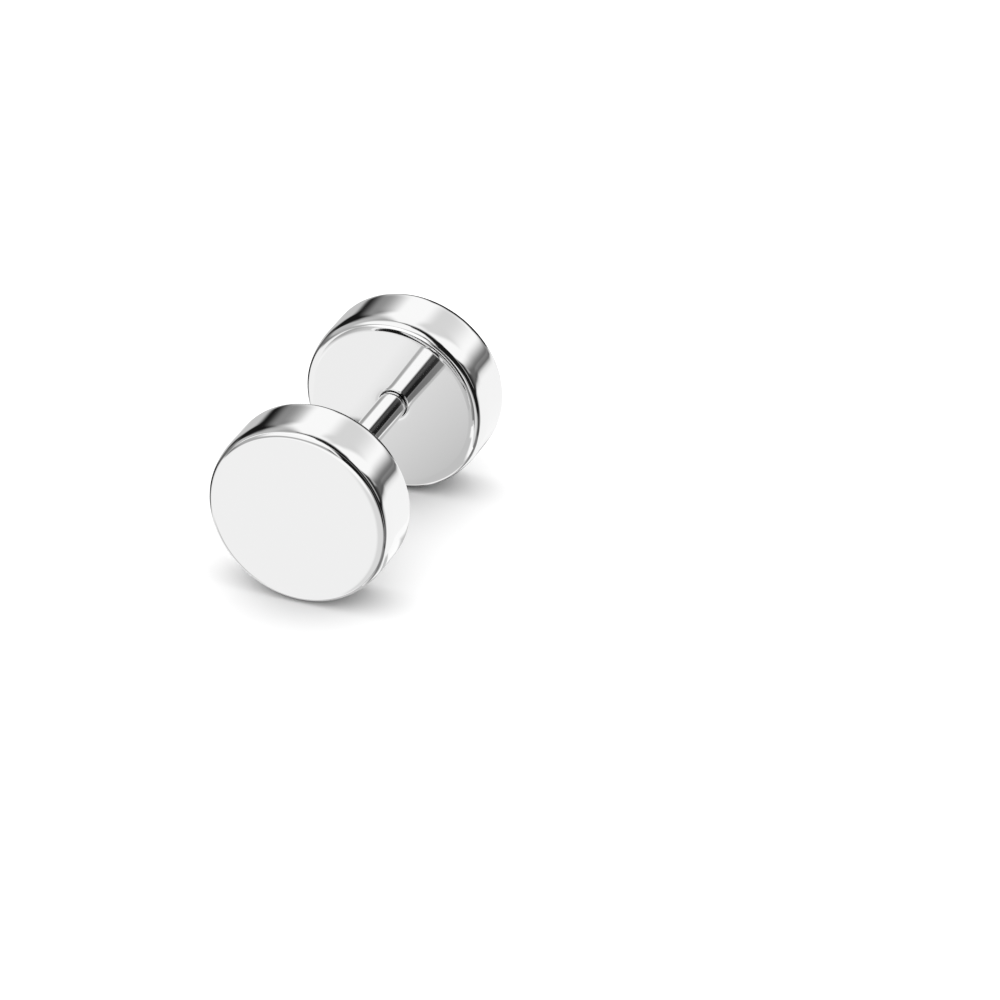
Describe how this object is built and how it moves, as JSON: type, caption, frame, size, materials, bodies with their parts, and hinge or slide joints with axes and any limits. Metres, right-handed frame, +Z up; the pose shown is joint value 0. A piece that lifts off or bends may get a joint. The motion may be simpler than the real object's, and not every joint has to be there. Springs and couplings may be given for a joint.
{
  "type": "double disc barbell ear stud",
  "caption": "Barbell ear stud of mirror-polished steel: equal round discs on a thin straight post, one fixed and one that screws off.",
  "frame": {"origin": "on the table under the middle of the stud, which rests on the rims of both discs", "axes": "+Y along the post, from the front disc to the back disc; +Z up; +X to the right, seen from the front"},
  "size_m": [0.008, 0.0126, 0.008],
  "materials": {
    "disc_steel": "surgical stainless steel, tumbled and mirror-polished",
    "post_steel": "surgical stainless steel wire, drawn and mirror-polished"
  },
  "bodies": {
    "fixed_side": {"front_disc": "disc_steel", "post": "post_steel"},
    "screw_back": {"back_disc": "disc_steel"}
  },
  "joints": [
    {"name": "back_disc_off", "type": "slide", "parent": "fixed_side", "child": "screw_back", "axis": [0, 1, 0], "range_m": [0, 0.012]}
  ]
}
